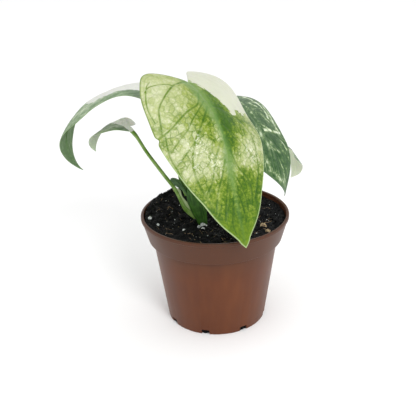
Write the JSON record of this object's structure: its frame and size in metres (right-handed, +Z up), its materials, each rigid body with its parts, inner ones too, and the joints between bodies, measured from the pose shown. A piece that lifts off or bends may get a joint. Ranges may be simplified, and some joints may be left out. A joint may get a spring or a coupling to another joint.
{
  "type": "potted variegated aroid house plant",
  "caption": "Young aroid house plant with mint and cream variegated heart-shaped leaves on slim stalks, in a round plastic nursery pot of peat.",
  "frame": {"origin": "centre of the pot's foot, on the surface it stands on", "axes": "+Z up, -Y towards the front, where the largest leaf hangs over the rim, +X to the right seen from the front"},
  "size_m": [0.1981, 0.1823, 0.2133],
  "materials": {
    "pot_plastic": "satin terracotta-brown moulded polypropylene",
    "peat": "damp black peat crumbs",
    "stem_green": "waxy dark green sheath with fine lengthwise ribs",
    "stalk_green": "smooth waxy mid green with pale edges",
    "leaf_mint": "waxy mint and yellow-green blade with darker net veins",
    "leaf_cream": "waxy cream blade marbled with grey-green",
    "leaf_dark": "waxy dark green blade marbled with pale streaks",
    "perlite": "rough white expanded grain",
    "bark": "rough tan bark"
  },
  "bodies": {
    "root": {"pot": "pot_plastic", "soil": "peat", "stem": "stem_green", "sheath_tip": "stem_green", "stalk_front": "stalk_green", "stalk_left": "stalk_green", "stalk_small_left": "stalk_green", "stalk_right": "stalk_green", "stalk_back_right": "stalk_green", "leaf_front": "leaf_mint", "leaf_left": "leaf_cream", "leaf_small_left": "leaf_cream", "leaf_right": "leaf_dark", "leaf_back_right": "leaf_dark", "perlite_1": "perlite", "perlite_2": "perlite", "perlite_3": "perlite", "perlite_4": "perlite", "perlite_5": "perlite", "bark_chip_1": "bark", "bark_chip_2": "bark", "bark_chip_3": "bark"}
  },
  "joints": []
}
